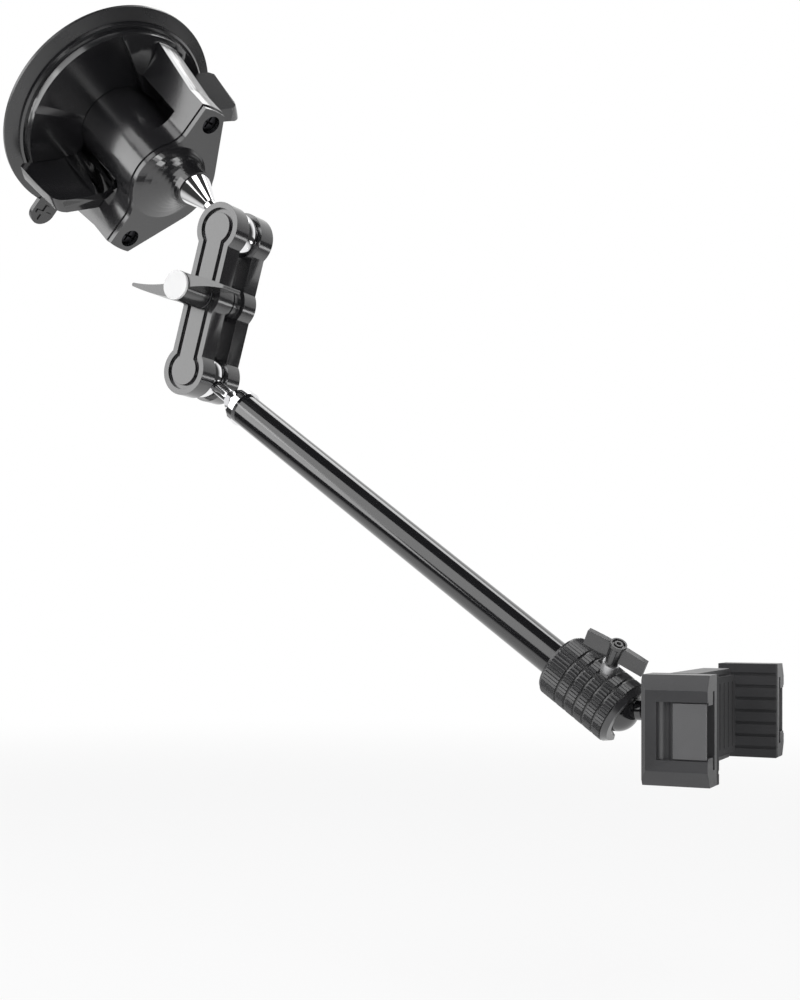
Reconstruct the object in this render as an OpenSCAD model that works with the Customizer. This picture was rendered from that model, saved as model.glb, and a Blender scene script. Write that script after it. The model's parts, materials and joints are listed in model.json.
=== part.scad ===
// Suction cup phone holder: twist-lock cup, ball-jointed arm, tube, knurled ball head and phone clamp.
// Origin at the middle of the suction face, on the glass. +Z up, -Y towards the user.

/* [Pose] */
// Turn of the glass about the upright axis, in degrees
glass_yaw = -10.1; // [-30:1:30]
// Tilt of the cup from facing up, in degrees
glass_tilt = 135.2; // [90:1:180]
// Turn of the cup housing about its own axis, in degrees
glass_roll = 84.7; // [60:1:120]
// Turn of the arm about the upright axis, in degrees
arm_yaw = -5.7; // [-10:0.5:10]
// Lean of the arm away from upright, in degrees
arm_lean = 15; // [0:1:40]
// Sideways lean of the arm, in degrees
arm_tip = 2.7; // [0:0.5:6]
// Turn of the tube about the upright axis, in degrees
pole_yaw = -8.3; // [-12:0.5:12]
// Lean of the tube from upright, in degrees
pole_lean = -55.2; // [-70:0.5:-30]
// Direction of the head knob about the tube axis, in degrees
knob_roll = -114.7; // [-125:0.1:-90]

/* [Suction cup] */
// Radius of the rubber disc
cup_r = 46; // [43:0.5:50]
// Thickness of the rubber under the housing
rubber_t = 2.8; // [2:0.1:3.4]
// Thickness of the rubber at its outer edge
rubber_edge_t = 1.2; // [0.8:0.1:1.8]
// Width of the pull tab
tab_w = 11; // [8:0.5:14]
// Reach of the pull tab past the rubber
tab_reach = 10; // [6:0.5:12]
// Radius of the housing ring
ring_r = 41; // [40:0.25:42]
// Height of the housing dome above the glass at the hub
dome_h = 14; // [13:0.5:15]
// Height of the floor of the lever pockets above the glass
pocket_floor_h = 8.4; // [8:0.1:9.5]

/* [Bridge and ball plate] */
// Thickness of the bridge
bridge_t = 9.6; // [9:0.1:11]
// Height of the top of the bridge above the glass
bridge_top_h = 47; // [45:0.5:50]
// Width of each leg
leg_w = 15.5; // [13:0.5:17]
// Distance from the cup axis to the inner face of each leg
leg_in = 22.8; // [22.4:0.1:24]
// Distance from the cup axis to the outer face of each leg at the bottom
leg_out = 37.4; // [36:0.2:38]
// Slant of the outer face of each leg
leg_draft = 3.6; // [2:0.2:4]
// Thickness of the ball plate
plate_t = 2.3; // [2:0.1:3.5]
// Distance between the two plate screws
screw_pitch = 55.4; // [52:0.2:57]
// Distance of the ball stud from the cup axis, towards the upper leg
stud_offset = 6.2; // [0:0.5:7]
// Height of the raised boss on the ball plate
boss_h = 12.6; // [8:0.2:16]
// Height of the top ball centre above the glass
stud_reach = 91.4; // [86:0.2:96]

/* [Twist lever] */
// Radius of the lever hub
hub_r = 16.4; // [15:0.1:17]
// Reach of the lever wings from the cup axis
wing_reach = 44.6; // [42:0.2:45.5]
// Distance from the underside of the bridge down to the top of the wings
wing_drop = 3.6; // [2:0.2:7]
// Thickness of the lever wings
wing_t = 6.4; // [5:0.2:7]
// Lift of the stem when the lever locks
stem_lift = 3; // [2:0.1:3.2]
// Turn of the lever from free to locked, in degrees
lever_turn = 96; // [60:1:97]

/* [Double socket arm] */
// Radius of the chrome balls
ball_r = 8.5; // [8:0.1:9]
// Distance between the two ball centres
arm_pitch = 54; // [50:0.5:60]
// Radius of the round ends of the arm
arm_end_r = 9.5; // [9.2:0.1:10.5]
// Half width of the arm between its round parts
arm_waist = 7.2; // [6.5:0.1:8.5]
// Radius of the round middle of the arm
arm_mid_r = 8.9; // [8:0.1:10]
// Thickness of the whole arm
arm_t = 22.4; // [20.5:0.2:25]
// Gap between the two halves
arm_gap = 7.6; // [6:0.1:8]
// Distance of the arm bolt above the middle of the arm
bolt_shift = 1.7; // [0:0.1:2.5]
// Radius of the arm bolt
bolt_r = 2.5; // [2:0.1:3]
// Radius of the arm knob hub
arm_knob_r = 5.5; // [5:0.1:6.5]
// Distance from the middle of the arm to the end of the knob
arm_knob_reach = 26.4; // [25:0.2:31]
// Distance from the knob axis to each wing tip
arm_wing_span = 21.7; // [18:0.1:26]
// Turn of the arm knob from square across the arm, in degrees
arm_knob_turn = 7.6; // [0:0.2:90]

/* [Tube] */
// Distance between the ball at the top of the tube and the ball in the head
pole_reach = 212; // [150:0.5:300]
// Radius of the tube
tube_r = 6; // [5.5:0.1:6.4]
// Wall of the tube
tube_wall = 1; // [0.8:0.1:1.5]
// Radius of the shank under each chrome ball
shank_r = 2.6; // [2.2:0.1:2.9]
// Distance from the upper ball centre to the start of the tube
cap_reach = 26; // [24:0.5:30]

/* [Ball head] */
// Radius over the knurling of the head
head_r = 10.9; // [10:0.1:12]
// Length of the head behind the ball centre
head_back = 24.6; // [23:0.2:28]
// Length of the head past the ball centre
head_front = 3.7; // [3.4:0.1:4]
// Radius of the ball in the head
grip_ball_r = 6.85; // [6.5:0.05:7]
// Number of knurled bands
band_count = 6; // [4:1:8]
// Number of knurls around the head
knurl_count = 56; // [40:1:72]
// Depth of the knurling
knurl_d = 0.45; // [0.3:0.05:0.6]
// Distance of the head knob behind the ball centre
head_knob_back = 8.1; // [7.5:0.1:9]
// Distance from the head axis to the end of the head knob
head_knob_reach = 22; // [20:0.2:24]
// Width over the wings of the head knob
head_wing_w = 20.9; // [18:0.1:24]

/* [Phone clamp] */
// Gap between the jaws, the width of the phone
grip_gap = 78; // [70:0.5:86]
// Height of the jaws
jaw_h = 30.7; // [28:0.1:36]
// Width of each jaw
jaw_w = 13; // [12:0.5:15]
// Depth of each jaw
jaw_d = 18.9; // [17:0.1:22]
// Distance from the ball in the head to the back of the jaws
jaw_back = 22.4; // [21:0.1:26]
// Distance of the clamp middle below the ball in the head
clamp_drop = 1.7; // [0:0.1:3]
// Width of the clamp body
body_w = 56; // [52:0.5:58]
// Height of the clamp body
body_h = 28.6; // [27:0.1:30]
// Distance from the ball in the head to the back of the clamp body
body_back = 20.9; // [19:0.1:24]
// Thickness of the rear shell of the body
rear_t = 5.3; // [5.1:0.1:6.5]
// Thickness of the front cover of the body
cover_t = 2.9; // [2.4:0.1:3.6]
// Thickness of the soft back pad
pad_t = 1.8; // [1:0.1:2.4]
// Outward travel of each jaw from rest
jaw_out = 7; // [5:0.5:8]
// Inward travel of each jaw from rest
jaw_in = 8; // [5:0.5:8.5]

/* [Hidden] */
$fn = 96;

// Clearances and the overrun that every cut shares
eps = 1;
run = 0.06;
gap = 0.3;
seat = 0.02;

function turn_x(p, a) = [p[0], p[1]*cos(a) - p[2]*sin(a), p[1]*sin(a) + p[2]*cos(a)];
function turn_y(p, a) = [p[0]*cos(a) + p[2]*sin(a), p[1], -p[0]*sin(a) + p[2]*cos(a)];
function turn_z(p, a) = [p[0]*cos(a) - p[1]*sin(a), p[0]*sin(a) + p[1]*cos(a), p[2]];

top_ball = turn_z(turn_x(turn_z([stud_offset, 0, stud_reach], glass_roll), glass_tilt), glass_yaw);
low_ball = top_ball + turn_z(turn_x(turn_y([0, 0, -arm_pitch], arm_tip), arm_lean), arm_yaw);
grip_ball = low_ball + turn_z(turn_x([0, 0, -pole_reach], pole_lean), pole_yaw);

module at_glass() {
    rotate([0, 0, glass_yaw]) rotate([glass_tilt, 0, 0]) rotate([0, 0, glass_roll]) children();
}
module at_arm() {
    translate(top_ball) rotate([0, 0, arm_yaw]) rotate([arm_lean, 0, 0]) rotate([0, arm_tip, 0])
        children();
}
module at_pole() {
    translate(low_ball) rotate([0, 0, pole_yaw]) rotate([pole_lean, 0, 0])
        rotate([0, 0, knob_roll]) children();
}
// Frame at the ball in the head: +Z back up the tube, +X towards the head knob
module at_head() { at_pole() translate([0, 0, -pole_reach]) children(); }
module at_grip() { translate(grip_ball) children(); }

// Points along an arc, and a tube swept along a coil
function arc(c, r, a0, a1, n) = [for (i = [0:n]) c + r*[cos(a0 + (a1 - a0)*i/n), sin(a0 + (a1 - a0)*i/n)]];

module coil(mean_r, wire_r, length, turns) {
    per = 8;
    sides = 6;
    n = turns*per;
    rise = (length - 2*wire_r)/n;
    pts = [for (i = [0:n]) for (s = [0:sides - 1])
        let (a = i*360/per, b = s*360/sides, r = mean_r + wire_r*cos(b))
        [r*cos(a), r*sin(a), wire_r + i*rise + wire_r*sin(b)]];
    faces = concat(
        [[for (s = [0:sides - 1]) s]],
        [for (i = [0:n - 1]) for (s = [0:sides - 1])
            let (t = (s + 1) % sides, p = i*sides, q = p + sides)
            each [[p + s, q + s, p + t], [p + t, q + s, q + t]]],
        [[for (s = [0:sides - 1]) n*sides + sides - 1 - s]]);
    polyhedron(pts, faces, convexity = 6);
}

// A round-cornered prism made of true arcs
module rounded(w, d, h, r) {
    linear_extrude(h) union() {
        square([w - 2*r, d], center = true);
        square([w, d - 2*r], center = true);
        for (x = [-1, 1], y = [-1, 1]) translate([x*(w/2 - r), y*(d/2 - r)]) circle(r, $fn = 48);
    }
}
module hex(af, h) { cylinder(r = af/(2*cos(30)), h = h, $fn = 6); }
module ring(ro, ri, h) {
    difference() {
        cylinder(r = ro, h = h);
        translate([0, 0, -eps]) cylinder(r = ri, h = h + 2*eps);
    }
}

// Suction cup

shell_low_h = rubber_t + 0.1;
lip_h = 1.4;
bridge_low_h = bridge_top_h - bridge_t;
wing_top_h = bridge_low_h - wing_drop;
shoulder_in = 1.8;
shoulder_low = 0.8;
core_r = 9.6;
core_t = 2.9;
core_low_h = 3.3;
core_top_h = core_low_h + core_t;
seal_in_r = 32;
head_disc_r = 7.4;
head_disc_t = 1.4;
head_disc_h = core_low_h + 0.8;
stem_r = 4.5;
tab_t = 1.9;
tab_rib_t = 0.5;
tab_rib_w = 1.6;

module suction_membrane() color("dimgray") at_glass() difference() {
    union() {
        rotate_extrude($fn = 160) polygon([
            [0, core_low_h], [core_r, core_low_h], [seal_in_r, 0], [cup_r, 0], [cup_r, rubber_edge_t],
            [ring_r, rubber_t], [seal_in_r, rubber_t], [core_r, core_top_h], [0, core_top_h]]);
        tab_plate();
    }
    translate([0, 0, head_disc_h]) cylinder(r = head_disc_r, h = head_disc_t);
    translate([0, 0, head_disc_h]) cylinder(r = stem_r, h = core_t + eps);
}
module tab_plate() {
    tip_x = cup_r + tab_reach - tab_w/2;
    translate([-tip_x, 0, 0]) cylinder(r = tab_w/2, h = tab_t);
    translate([-tip_x, -tab_w/2, 0]) cube([tip_x - cup_r + 2*tab_t, tab_w, tab_t]);
    for (a = [0, 90]) translate([-tip_x, 0, tab_t - tab_rib_t]) rotate([0, 0, a])
        translate([-tab_w/3, -tab_rib_w/2, 0]) cube([tab_w*2/3, tab_rib_w, 2*tab_rib_t]);
}

post_r = 7.5;
post_h = 16;
sleeve_low_h = 18.4;
pin_r = 1.5;
pin_h = 25;
pin_len = 23.6;
well_r = hub_r + gap;
stop_a = 55.6;
stop_off = 12.5;
far = 2*cup_r;
leg_seat_h = 9.4;
leg_half = leg_w/2;
ring_h = shell_low_h + lip_h;
dome_lip_r = ring_r - shoulder_in;
dome_drops = [4.3, 2.1, 1];
floor_gap = 0.1;

// Housing dome: the ring on the rubber, the shoulder, the dome, the lever well and the central post
module base_housing() color("black") at_glass() difference() {
    rotate_extrude($fn = 160) polygon([
        [stem_r + run, core_top_h + floor_gap], [core_r, core_top_h + floor_gap], [seal_in_r, shell_low_h],
        [ring_r, shell_low_h], [ring_r, ring_h], [ring_r - shoulder_low, ring_h + shoulder_low],
        [dome_lip_r, ring_h + shoulder_low], [dome_lip_r - shoulder_low/2, pocket_floor_h],
        [dome_lip_r - shoulder_in, dome_h - dome_drops[0]],
        [dome_lip_r - 4*shoulder_in, dome_h - dome_drops[1]],
        [leg_in, dome_h - dome_drops[2]], [well_r + shoulder_low, dome_h], [well_r, dome_h - shoulder_low/2],
        [well_r, pocket_floor_h], [post_r, pocket_floor_h], [post_r, post_h], [stem_r + run, post_h]]);
    for (a = [0, 180]) rotate([0, 0, a]) {
        translate([0, 0, pocket_floor_h]) difference() {
            linear_extrude(dome_h) pocket_plan();
            translate([0, 0, -eps]) cylinder(r = hub_r, h = dome_h + 2*eps);
        }
        translate([screw_pitch/2, 0, ring_h]) cylinder(r = screw_r + seat, h = dome_h);
    }
    translate([0, 0, leg_seat_h]) linear_extrude(dome_h) leg_plan(seat, ring_r);
}
pocket_root_shares = [[-0.93, 0.29], [-1.12, 0.345], [-1.38, 0.43]];
module pocket_plan() polygon(concat(
    [[0, 0], [stop_off*sin(stop_a), -stop_off*cos(stop_a)],
     [far*cos(stop_a) + stop_off*sin(stop_a), far*sin(stop_a) - stop_off*cos(stop_a)],
     [-far, far], [-far, leg_half + run], [pocket_root_shares[2][0]*hub_r, leg_half + run]],
    [for (k = [2:-1:0]) pocket_root_shares[k]*hub_r],
    [[-hub_r/2, pocket_root_shares[0][1]*hub_r]]));

// Outline of the bridge: a round middle with two narrow ends, filleted on +Y and straight-sided on -Y
fillet_r = 11;
tangent_a = 33;
function outline(mid_r, wide_r, end_r, half_w) =
    let (xf = sqrt(pow(mid_r + fillet_r, 2) - pow(half_w + fillet_r, 2)),
         af = atan2(half_w + fillet_r, xf), ae = asin(half_w/end_r),
         ew = 90 - tangent_a - acos(wide_r/end_r))
    concat(
        arc([0, 0], end_r, -ew, ae, 10),
        arc([xf, half_w + fillet_r], fillet_r, 270, 180 + af, 12),
        arc([0, 0], mid_r, af, 180 - af, 28),
        arc([-xf, half_w + fillet_r], fillet_r, -af, -90, 12),
        arc([0, 0], end_r, 180 - ae, 180 + ew, 10),
        arc([0, 0], wide_r, 270 - tangent_a, 270 + tangent_a, 16));
module leg_plan(grow, reach) intersection() {
    polygon(outline(bridge_mid_r + grow, bridge_wide_r + grow, reach, leg_half + grow));
    for (s = [-1, 1]) translate([s > 0 ? leg_in - grow : -reach - eps, -leg_half - grow])
        square([reach + eps - leg_in + grow, 2*(leg_half + grow)]);
}

bridge_mid_r = 16.9;
bridge_wide_r = 21.2;
bridge_end_r = leg_out - leg_draft;
plate_in = 0.5;
nut_af = 13;
nut_t = 5.5;
nut_pocket_r = 7.7;
nut_pocket_d = 6.2;
screw_r = 1.9;
screw_head_r = 3.4;
screw_head_t = 2.4;
screw_sink = 2.1;
recess_r = 3.75;
foot_r = 4.8;
foot_t = 2.2;

module cup_bridge() color("black") at_glass() difference() {
    union() {
        intersection() {
            translate([0, 0, leg_seat_h]) linear_extrude(bridge_low_h - leg_seat_h + seat)
                leg_plan(0, leg_out + eps);
            translate([0, 0, leg_seat_h])
                cylinder(r1 = leg_out, r2 = bridge_end_r - 2*seat, h = bridge_low_h - leg_seat_h + 2*seat,
                    $fn = 160);
        }
        translate([0, 0, bridge_low_h]) linear_extrude(bridge_top_h - bridge_low_h)
            polygon(outline(bridge_mid_r, bridge_wide_r, bridge_end_r, leg_half));
        translate([0, 0, sleeve_low_h]) cylinder(r = post_r, h = bridge_low_h - sleeve_low_h + seat);
    }
    translate([0, 0, sleeve_low_h - eps]) cylinder(r = stem_r + run, h = bridge_low_h - sleeve_low_h);
    translate([-post_r - eps, -pin_r - run, sleeve_low_h - eps])
        cube([2*(post_r + eps), 2*(pin_r + run), pin_h + pin_r + gap - sleeve_low_h + eps]);
    translate([stud_offset, 0, bridge_top_h - nut_pocket_d]) cylinder(r = nut_pocket_r, h = nut_pocket_d + eps);
    for (s = [-1, 1]) translate([s*screw_pitch/2, 0, 0]) {
        translate([0, 0, leg_seat_h - eps]) cylinder(r = screw_r + seat, h = bridge_top_h);
        translate([0, 0, bridge_top_h - foot_t]) cylinder(r = foot_r + seat, h = foot_t + eps);
    }
}

// Boss on the ball plate: a concave flare from a round base to the foot of the stud, set to one side
boss_base_r = 16;
boss_top_r = 7.5;
boss_rings = 9;
boss_sides = 72;
boss_flare = 2.6;
boss_shift = 1.8;
stud_bore_r = 4;
module boss() {
    function share(i) = i/boss_rings;
    function boss_r(t) = boss_top_r + (boss_base_r - boss_top_r)*pow(1 - t, boss_flare);
    function boss_x(t) = stud_offset*(1 - pow(1 - t, boss_shift));
    pts = [for (i = [0:boss_rings]) for (k = [0:boss_sides - 1])
        let (t = share(i), a = k*360/boss_sides)
        [boss_x(t) + boss_r(t)*cos(a), boss_r(t)*sin(a), boss_h*t]];
    polyhedron(pts, concat(
        [[for (k = [0:boss_sides - 1]) k]],
        [for (i = [0:boss_rings - 1]) for (k = [0:boss_sides - 1])
            let (m = (k + 1) % boss_sides, p = i*boss_sides, q = p + boss_sides)
            each [[p + k, q + k, p + m], [p + m, q + k, q + m]]],
        [[for (k = [0:boss_sides - 1]) boss_rings*boss_sides + boss_sides - 1 - k]]), convexity = 4);
}
plate_top_h = bridge_top_h + plate_t;
boss_top_h = plate_top_h + boss_h;
module ball_plate() color("black") at_glass() difference() {
    union() {
        translate([0, 0, bridge_top_h]) linear_extrude(plate_t)
            polygon(outline(bridge_mid_r - plate_in, bridge_wide_r - plate_in, bridge_end_r - plate_in,
                leg_half - plate_in));
        translate([0, 0, plate_top_h - seat]) boss();
        for (s = [-1, 1]) translate([s*screw_pitch/2, 0, bridge_top_h - foot_t])
            cylinder(r = foot_r, h = foot_t + seat);
    }
    translate([stud_offset, 0, bridge_top_h - eps])
        cylinder(r = stud_bore_r + run, h = boss_h + plate_t + 2*eps);
    for (s = [-1, 1]) translate([s*screw_pitch/2, 0, 0]) {
        translate([0, 0, bridge_top_h - foot_t - eps])
            cylinder(r = screw_r + seat, h = plate_t + foot_t + 2*eps);
        translate([0, 0, plate_top_h - screw_sink - screw_head_t]) cylinder(r = recess_r, h = boss_h);
    }
}
screw_len = plate_top_h - screw_sink - screw_head_t - ring_h - gap;
module plate_screws() color("dimgray") at_glass() for (s = [-1, 1])
    translate([s*screw_pitch/2, 0, plate_top_h - screw_sink - screw_head_t]) difference() {
        union() {
            translate([0, 0, -screw_len]) cylinder(r = screw_r, h = screw_len + seat);
            cylinder(r = screw_head_r, h = screw_head_t);
        }
        for (a = [0, 90]) rotate([0, 0, a]) translate([-cross_len/2, -cross_w/2, screw_head_t - cross_d])
            cube([cross_len, cross_w, cross_d + eps]);
    }
cross_w = 0.9;
cross_len = 4.8;
cross_d = 1.2;

// Twist lever
lever_low_h = pocket_floor_h + gap;
washer_t = 0.6;
face_gap = 0.05;
hub_top_h = bridge_low_h - washer_t - 2*face_gap;
cam_out_r = 12.6;
cam_in_r = 8.1;
hub_draft = 0.3;
wing_a = 120.3;
wing_off = 12.6;
wing_draft = 2.6;
wing_corner = 4;
wing_foot = 1.6;
dish_r = 60;
dish_d = 1.9;
module twist_lever() color("black") at_glass() difference() {
    union() {
        translate([0, 0, lever_low_h])
            cylinder(r1 = hub_r, r2 = hub_r - hub_draft, h = hub_top_h - lever_low_h);
        for (a = [0, 180]) rotate([0, 0, a]) wing();
    }
    translate([0, 0, lever_low_h - eps]) cylinder(r = post_r + run, h = hub_top_h);
    translate([0, 0, post_h + gap]) cylinder(r = cam_out_r, h = hub_top_h);
}
root_shares = [[-0.7, 0.25], [-0.952, 0.33], [-1.12, 0.44], [-1.355, 0.45], [-1.36, 0.82], [-1.24, 0.62],
    [-1.02, 0.525], [-0.82, 0.58], [-0.65, 0.5]];
module wing() intersection() {
    union() {
        rotate([0, 0, wing_a - 90]) difference() {
            translate([-wing_off - wing_t, hub_r/2, lever_low_h])
                cube([wing_t, wing_reach, wing_top_h - lever_low_h]);
            translate([-wing_off + dish_r - dish_d, (hub_r + wing_reach)/2, (lever_low_h + wing_top_h)/2])
                sphere(r = dish_r);
        }
        translate([0, 0, lever_low_h]) linear_extrude(wing_top_h - lever_low_h) polygon(root_shares*hub_r);
    }
    rotate_extrude($fn = 160) wing_end();
    translate([0, 0, lever_low_h - eps]) linear_extrude(wing_top_h) polygon([
        [0, 0], [-leg_in + gap, root_shares[3][1]*hub_r], [-leg_in + gap, leg_half + gap],
        [-far, leg_half + gap], [-far, far], [0, far]]);
}
// Section that rounds the end of a wing, reach along x and height along y
module wing_end() {
    side_a = atan(wing_draft/(wing_top_h - lever_low_h));
    top_r = wing_reach - wing_draft*(1 - wing_corner/(wing_top_h - lever_low_h)) - wing_corner;
    polygon(concat(
        [[0, lever_low_h - eps], [wing_reach - wing_foot - eps, lever_low_h - eps],
        [wing_reach, lever_low_h + wing_foot]],
        arc([top_r, wing_top_h - wing_corner], wing_corner, side_a, 75, 5),
        [[top_r - wing_foot/2, wing_top_h + eps], [0, wing_top_h + eps]]));
}

// Cam ring in the lever hub: two helical ramps that carry the pin up as the lever locks
cam_rest = 6;
cam_steps = 16;
cam_gap = 0.12;
cam_top_h = pin_h - pin_r - cam_gap;
cam_base_h = post_h + gap;
cam_side_a = 11;
ramp_in = 0.3;
function cam_h(a) = cam_top_h - stem_lift*max(0, min(1, a/lever_turn));
module cam_ring() color("ivory") at_glass() {
    span = lever_turn + 2*cam_side_a;
    translate([0, 0, cam_base_h]) ring(cam_out_r - seat, cam_in_r, cam_top_h - stem_lift - cam_base_h - gap);
    for (s = [0, 180]) rotate([0, 0, s]) {
        pts = [for (i = [0:cam_steps]) let (a = -cam_side_a + span*i/cam_steps) for (p = [
            [cam_in_r + ramp_in, cam_base_h + ramp_in], [cam_in_r + ramp_in, cam_h(a)],
            [cam_out_r - ramp_in, cam_h(a)], [cam_out_r - ramp_in, cam_base_h + ramp_in]])
            [p[0]*cos(a), p[0]*sin(a), p[1]]];
        faces = concat([[0, 1, 2, 3]],
            [for (i = [0:cam_steps - 1]) for (k = [0:3]) let (m = (k + 1) % 4, p = 4*i, q = p + 4)
                each [[p + k, q + k, p + m], [p + m, q + k, q + m]]],
            [[4*cam_steps + 3, 4*cam_steps + 2, 4*cam_steps + 1, 4*cam_steps]]);
        polyhedron(pts, faces, convexity = 4);
    }
}
module lever_washer() color("white") at_glass() translate([0, 0, hub_top_h + face_gap])
    ring(hub_r - 3*gap, post_r + seat, washer_t + face_gap);

module pull_stem() color("silver") at_glass() difference() {
    union() {
        translate([0, 0, head_disc_h]) cylinder(r = head_disc_r, h = head_disc_t);
        translate([0, 0, head_disc_h]) cylinder(r = stem_r, h = pin_h + 2*pin_r - head_disc_h);
    }
    translate([-stem_r - eps, 0, pin_h]) rotate([0, 90, 0])
        cylinder(r = pin_r + seat, h = 2*(stem_r + eps));
}
module cam_pin() color("silver") at_glass() translate([-pin_len/2, 0, pin_h]) rotate([0, 90, 0])
    cylinder(r = pin_r, h = pin_len);

// Ball stud of the cup
cone_r = 6.75;
cone_len = 10.6;
tail_gap = 0.4;
neck_in = 0.1;
stud_low_h = bridge_top_h - nut_pocket_d + tail_gap;
module base_ball_stud() color("silver") at_glass() translate([stud_offset, 0, 0]) union() {
    translate([0, 0, stud_reach]) sphere(r = ball_r);
    translate([0, 0, boss_top_h + cone_len - seat])
        cylinder(r = shank_r - neck_in, h = stud_reach - boss_top_h - cone_len);
    translate([0, 0, boss_top_h + face_gap]) cylinder(r1 = cone_r, r2 = shank_r, h = cone_len - face_gap);
    translate([0, 0, stud_low_h]) cylinder(r = stud_bore_r, h = boss_top_h - stud_low_h + 2*face_gap);
}
module stud_nut() color("silver") at_glass() translate([stud_offset, 0, bridge_top_h - nut_t]) difference() {
    hex(nut_af, nut_t);
    translate([0, 0, -eps]) cylinder(r = stud_bore_r + run, h = nut_t + 2*eps);
}

// Double socket arm. Plate outlines are drawn with x down the arm
mid_x = arm_pitch/2 - bolt_shift;
half_t = (arm_t - arm_gap)/2;
rim_w = 2.2;
groove_w = 1.6;
groove_d = 1.2;
web_r = 7;
web_gap = 0.35;
washer_r = 5.2;
washer_h = 0.8;
head_r_bolt = 4.1;
head_t = 3;
key_d = 2.1;
spring_r = 3.9;
spring_wire = 0.45;
spring_seat_r = 4.7;
spring_seat_d = 3.2;
spring_turns = 3;
module arm_outline(inset) {
    circle(arm_end_r - inset);
    translate([arm_pitch, 0]) circle(arm_end_r - inset);
    translate([mid_x, 0]) circle(arm_mid_r - inset);
    translate([0, -arm_waist + inset]) square([arm_pitch, 2*(arm_waist - inset)]);
}
// One half, from the gap outwards along +X, less any further cuts given as children
module arm_half(bolt_hole) difference() {
    union() {
        translate([arm_gap/2, 0, 0]) rotate([0, 90, 0]) linear_extrude(half_t) arm_outline(0);
        translate([web_gap, 0, -mid_x]) rotate([0, 90, 0]) cylinder(r = web_r, h = arm_gap/2 + seat);
    }
    for (z = [0, -arm_pitch]) translate([0, 0, z]) sphere(r = ball_r + run);
    translate([arm_t/2 - groove_d, 0, 0]) rotate([0, 90, 0]) linear_extrude(groove_d + eps) difference() {
        arm_outline(rim_w);
        arm_outline(rim_w + groove_w);
    }
    translate([-eps, 0, -mid_x]) rotate([0, 90, 0]) cylinder(r = bolt_hole, h = arm_t);
    translate([-eps, 0, -mid_x]) rotate([0, 90, 0]) cylinder(r = spring_seat_r, h = spring_seat_d + eps);
    children();
}
module arm_half_far() color("dimgray") at_arm() arm_half(bolt_r + seat)
    translate([arm_t/2 - head_t, 0, -mid_x]) rotate([0, 90, 0])
        cylinder(r = head_r_bolt + seat, h = head_t + eps);
module arm_half_near() color("dimgray") at_arm() mirror([1, 0, 0]) arm_half(bolt_r + run);
module at_knob() { at_arm() translate([0, 0, -mid_x]) rotate([0, -90, 0]) children(); }
module arm_bolt() color("silver") at_knob() difference() {
    union() {
        translate([0, 0, -arm_t/2 + head_t - seat])
            cylinder(r = bolt_r, h = arm_t/2 + arm_knob_reach - knob_cap_t - 2*head_t);
        translate([0, 0, -arm_t/2 + gap]) cylinder(r = head_r_bolt, h = head_t - gap);
    }
    translate([0, 0, -arm_t/2]) hex(bolt_r*2, key_d);
}
module arm_spring() color("silver") at_knob()
    translate([0, 0, -spring_seat_d]) coil(spring_r, spring_wire, 2*spring_seat_d, spring_turns);
module knob_washer() color("silver") at_knob() translate([0, 0, arm_t/2]) ring(washer_r, bolt_r + run, washer_h);
knob_cap_t = 1;
cap_lip = 0.1;
wing_root_up = 0.9;
wing_root_down = 4.2;
wing_tip_r = 0.7;
wing_axial = 10;
knob_nut_af = 8;
knob_nut_t = 5;
knob_low = arm_t/2 + washer_h + face_gap;
module arm_knob() color("dimgray") at_knob() difference() {
    union() {
        translate([0, 0, knob_low]) cylinder(r = arm_knob_r, h = arm_knob_reach - knob_cap_t - knob_low);
        translate([0, 0, arm_knob_reach - knob_cap_t - wing_axial]) linear_extrude(wing_axial)
            for (a = [0, 180]) rotate([0, 0, a + arm_knob_turn]) knob_horn();
    }
    translate([0, 0, knob_low - eps]) cylinder(r = bolt_r + run, h = arm_knob_reach);
    translate([0, 0, arm_knob_reach - knob_cap_t - head_t - knob_nut_t]) hex(knob_nut_af + 2*seat, arm_knob_reach);
}
horn_steps = 14;
horn_bow = 1.6;
horn_dip = 2.2;
module knob_horn() {
    reach = arm_wing_span - wing_tip_r;
    root = arm_knob_r/2;
    function low(t) = -wing_root_down*(1 - pow(t, horn_bow)) - wing_tip_r*pow(t, horn_bow);
    function up(t) = wing_root_up*(1 - t)*(1 - horn_dip*t) + wing_tip_r*pow(t, 2);
    polygon(concat(
        [for (i = [0:horn_steps]) let (t = i/horn_steps) [up(t), root + (reach - root)*t]],
        [for (i = [horn_steps:-1:0]) let (t = i/horn_steps) [low(t), root + (reach - root)*t]]));
    translate([0, reach]) circle(wing_tip_r, $fn = 24);
}
module knob_nut() color("silver") at_knob()
    translate([0, 0, arm_knob_reach - knob_cap_t - head_t - knob_nut_t]) difference() {
        hex(knob_nut_af, knob_nut_t);
        translate([0, 0, -eps]) cylinder(r = bolt_r + run, h = knob_nut_t + 2*eps);
    }
module knob_cap() color("lightgray") at_knob() translate([0, 0, arm_knob_reach - knob_cap_t]) union() {
    cylinder(r = arm_knob_r - cap_lip, h = knob_cap_t);
    translate([0, 0, -head_t/2]) cylinder(r = bolt_r + cap_lip, h = head_t/2 + seat);
}

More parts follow.
